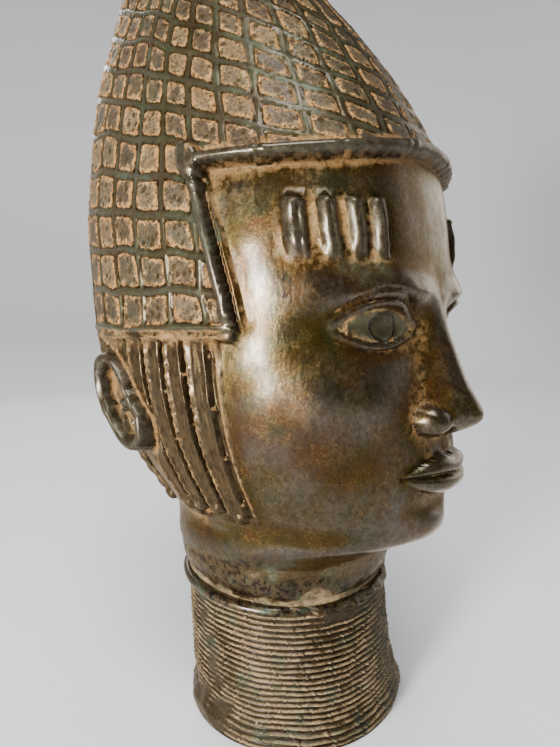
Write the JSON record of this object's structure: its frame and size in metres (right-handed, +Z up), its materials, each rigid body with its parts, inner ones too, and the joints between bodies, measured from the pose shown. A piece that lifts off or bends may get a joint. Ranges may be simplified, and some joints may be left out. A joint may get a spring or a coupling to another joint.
{
  "type": "benin bronze head",
  "caption": "Cast bronze court head with a tall netted bead cap, headband, hanging bead strands, raised forehead bars and a ringed collar that it stands on.",
  "frame": {"origin": "centre of the flat underside of the collar", "axes": "+Z up from the collar to the cap's tip, the face looks towards -Y, the figure's left is +X"},
  "size_m": [0.1676, 0.2218, 0.434],
  "materials": {
    "bronze": "polished olive-brown bronze, ochre clay and verdigris in the recesses"
  },
  "bodies": {
    "root": {"bronze_head": "bronze"}
  },
  "joints": []
}
